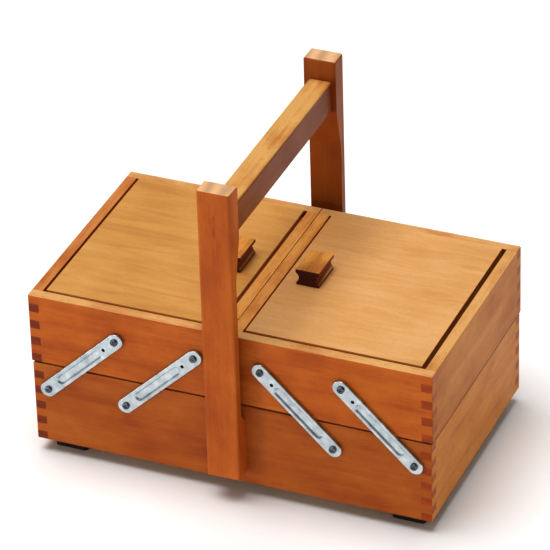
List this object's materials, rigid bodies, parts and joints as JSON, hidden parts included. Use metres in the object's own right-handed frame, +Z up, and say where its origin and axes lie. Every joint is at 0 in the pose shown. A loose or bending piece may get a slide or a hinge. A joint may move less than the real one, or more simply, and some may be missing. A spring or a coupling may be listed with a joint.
{
  "type": "sewing box",
  "caption": "Wooden cantilever sewing box: finger-jointed base, swing-out trays with hinged lids on steel link arms, and a tall carrying handle.",
  "frame": {"origin": "centre of the footprint, on the surface that the feet stand on", "axes": "+Z up, +X along the length of the box, across the handle; -Y is the front"},
  "size_m": [0.36, 0.247, 0.302],
  "materials": {
    "wall_beech": "solid beech, orange-brown stain under satin varnish",
    "handle_beech": "solid beech, orange-brown stain under satin varnish",
    "knob_beech": "solid beech, honey stain, varnished, darker end grain",
    "lid_beech_ply": "beech-faced plywood, honey varnish",
    "plain_ply": "unstained plywood",
    "batten_wood": "sawn beech, thin varnish",
    "wedge_wood": "dark hardwood wedge end grain",
    "zinc_steel": "bright zinc plating on pressed steel",
    "screw_steel": "dull zinc plating with dark cross recess",
    "foot_rubber": "black moulded rubber, matt"
  },
  "bodies": {
    "base": {"base_bottom": "plain_ply", "base_front_wall": "wall_beech", "base_left_wall": "wall_beech", "base_link_screws": "screw_steel", "base_link_spacers": "zinc_steel", "base_rear_wall": "wall_beech", "base_right_wall": "wall_beech", "foot_front_left": "foot_rubber", "foot_front_right": "foot_rubber", "foot_rear_left": "foot_rubber", "foot_rear_right": "foot_rubber", "foot_screws": "screw_steel", "handle_bar": "handle_beech", "handle_screws": "screw_steel", "handle_upright_front": "handle_beech", "handle_upright_rear": "handle_beech", "handle_wedges": "wedge_wood"},
    "right_outer_links": {"right_outer_link_front": "zinc_steel", "right_outer_link_rear": "zinc_steel"},
    "right_inner_links": {"right_inner_link_front": "zinc_steel", "right_inner_link_rear": "zinc_steel"},
    "right_tray": {"right_tray_bottom": "plain_ply", "right_tray_front_wall": "wall_beech", "right_tray_inner_wall": "wall_beech", "right_tray_lid_pins": "screw_steel", "right_tray_lid_rest": "batten_wood", "right_tray_link_screws": "screw_steel", "right_tray_link_spacers": "zinc_steel", "right_tray_outer_wall": "wall_beech", "right_tray_rear_wall": "wall_beech"},
    "right_lid": {"right_lid_batten": "batten_wood", "right_lid_knob": "knob_beech", "right_lid_knob_screw": "screw_steel", "right_lid_panel": "lid_beech_ply"},
    "left_outer_links": {"left_outer_link_front": "zinc_steel", "left_outer_link_rear": "zinc_steel"},
    "left_inner_links": {"left_inner_link_front": "zinc_steel", "left_inner_link_rear": "zinc_steel"},
    "left_tray": {"left_tray_bottom": "plain_ply", "left_tray_front_wall": "wall_beech", "left_tray_inner_wall": "wall_beech", "left_tray_lid_pins": "screw_steel", "left_tray_lid_rest": "batten_wood", "left_tray_link_screws": "screw_steel", "left_tray_link_spacers": "zinc_steel", "left_tray_outer_wall": "wall_beech", "left_tray_rear_wall": "wall_beech"},
    "left_lid": {"left_lid_batten": "batten_wood", "left_lid_knob": "knob_beech", "left_lid_knob_screw": "screw_steel", "left_lid_panel": "lid_beech_ply"}
  },
  "joints": [
    {"name": "right_tray_swing", "type": "hinge", "parent": "base", "child": "right_outer_links", "pos_m": [0.1645, 0, 0.0665], "axis": [0, 1, 0], "range_deg": [0, 92.07]},
    {"name": "right_inner_link_pivot", "type": "hinge", "parent": "base", "child": "right_inner_links", "pos_m": [0.093, 0, 0.0665], "axis": [0, 1, 0], "range_deg": [0, 92.07]},
    {"name": "right_tray_pivot", "type": "hinge", "parent": "right_outer_links", "child": "right_tray", "pos_m": [0.10125, 0, 0.1275], "axis": [0, 1, 0], "range_deg": [-92.07, 0]},
    {"name": "right_lid_hinge", "type": "hinge", "parent": "right_tray", "child": "right_lid", "pos_m": [0.1601, 0, 0.151], "axis": [0, 1, 0], "range_deg": [0, 115]},
    {"name": "left_tray_swing", "type": "hinge", "parent": "base", "child": "left_outer_links", "pos_m": [-0.1645, 0, 0.0665], "axis": [0, -1, 0], "range_deg": [0, 92.07]},
    {"name": "left_inner_link_pivot", "type": "hinge", "parent": "base", "child": "left_inner_links", "pos_m": [-0.093, 0, 0.0665], "axis": [0, -1, 0], "range_deg": [0, 92.07]},
    {"name": "left_tray_pivot", "type": "hinge", "parent": "left_outer_links", "child": "left_tray", "pos_m": [-0.10125, 0, 0.1275], "axis": [0, -1, 0], "range_deg": [-92.07, 0]},
    {"name": "left_lid_hinge", "type": "hinge", "parent": "left_tray", "child": "left_lid", "pos_m": [-0.1601, 0, 0.151], "axis": [0, -1, 0], "range_deg": [0, 115]}
  ],
  "couplings": [
    {"joint": "right_inner_link_pivot", "follows": "right_tray_swing", "ratio": 1},
    {"joint": "right_tray_pivot", "follows": "right_tray_swing", "ratio": -1},
    {"joint": "left_inner_link_pivot", "follows": "left_tray_swing", "ratio": 1},
    {"joint": "left_tray_pivot", "follows": "left_tray_swing", "ratio": -1}
  ]
}
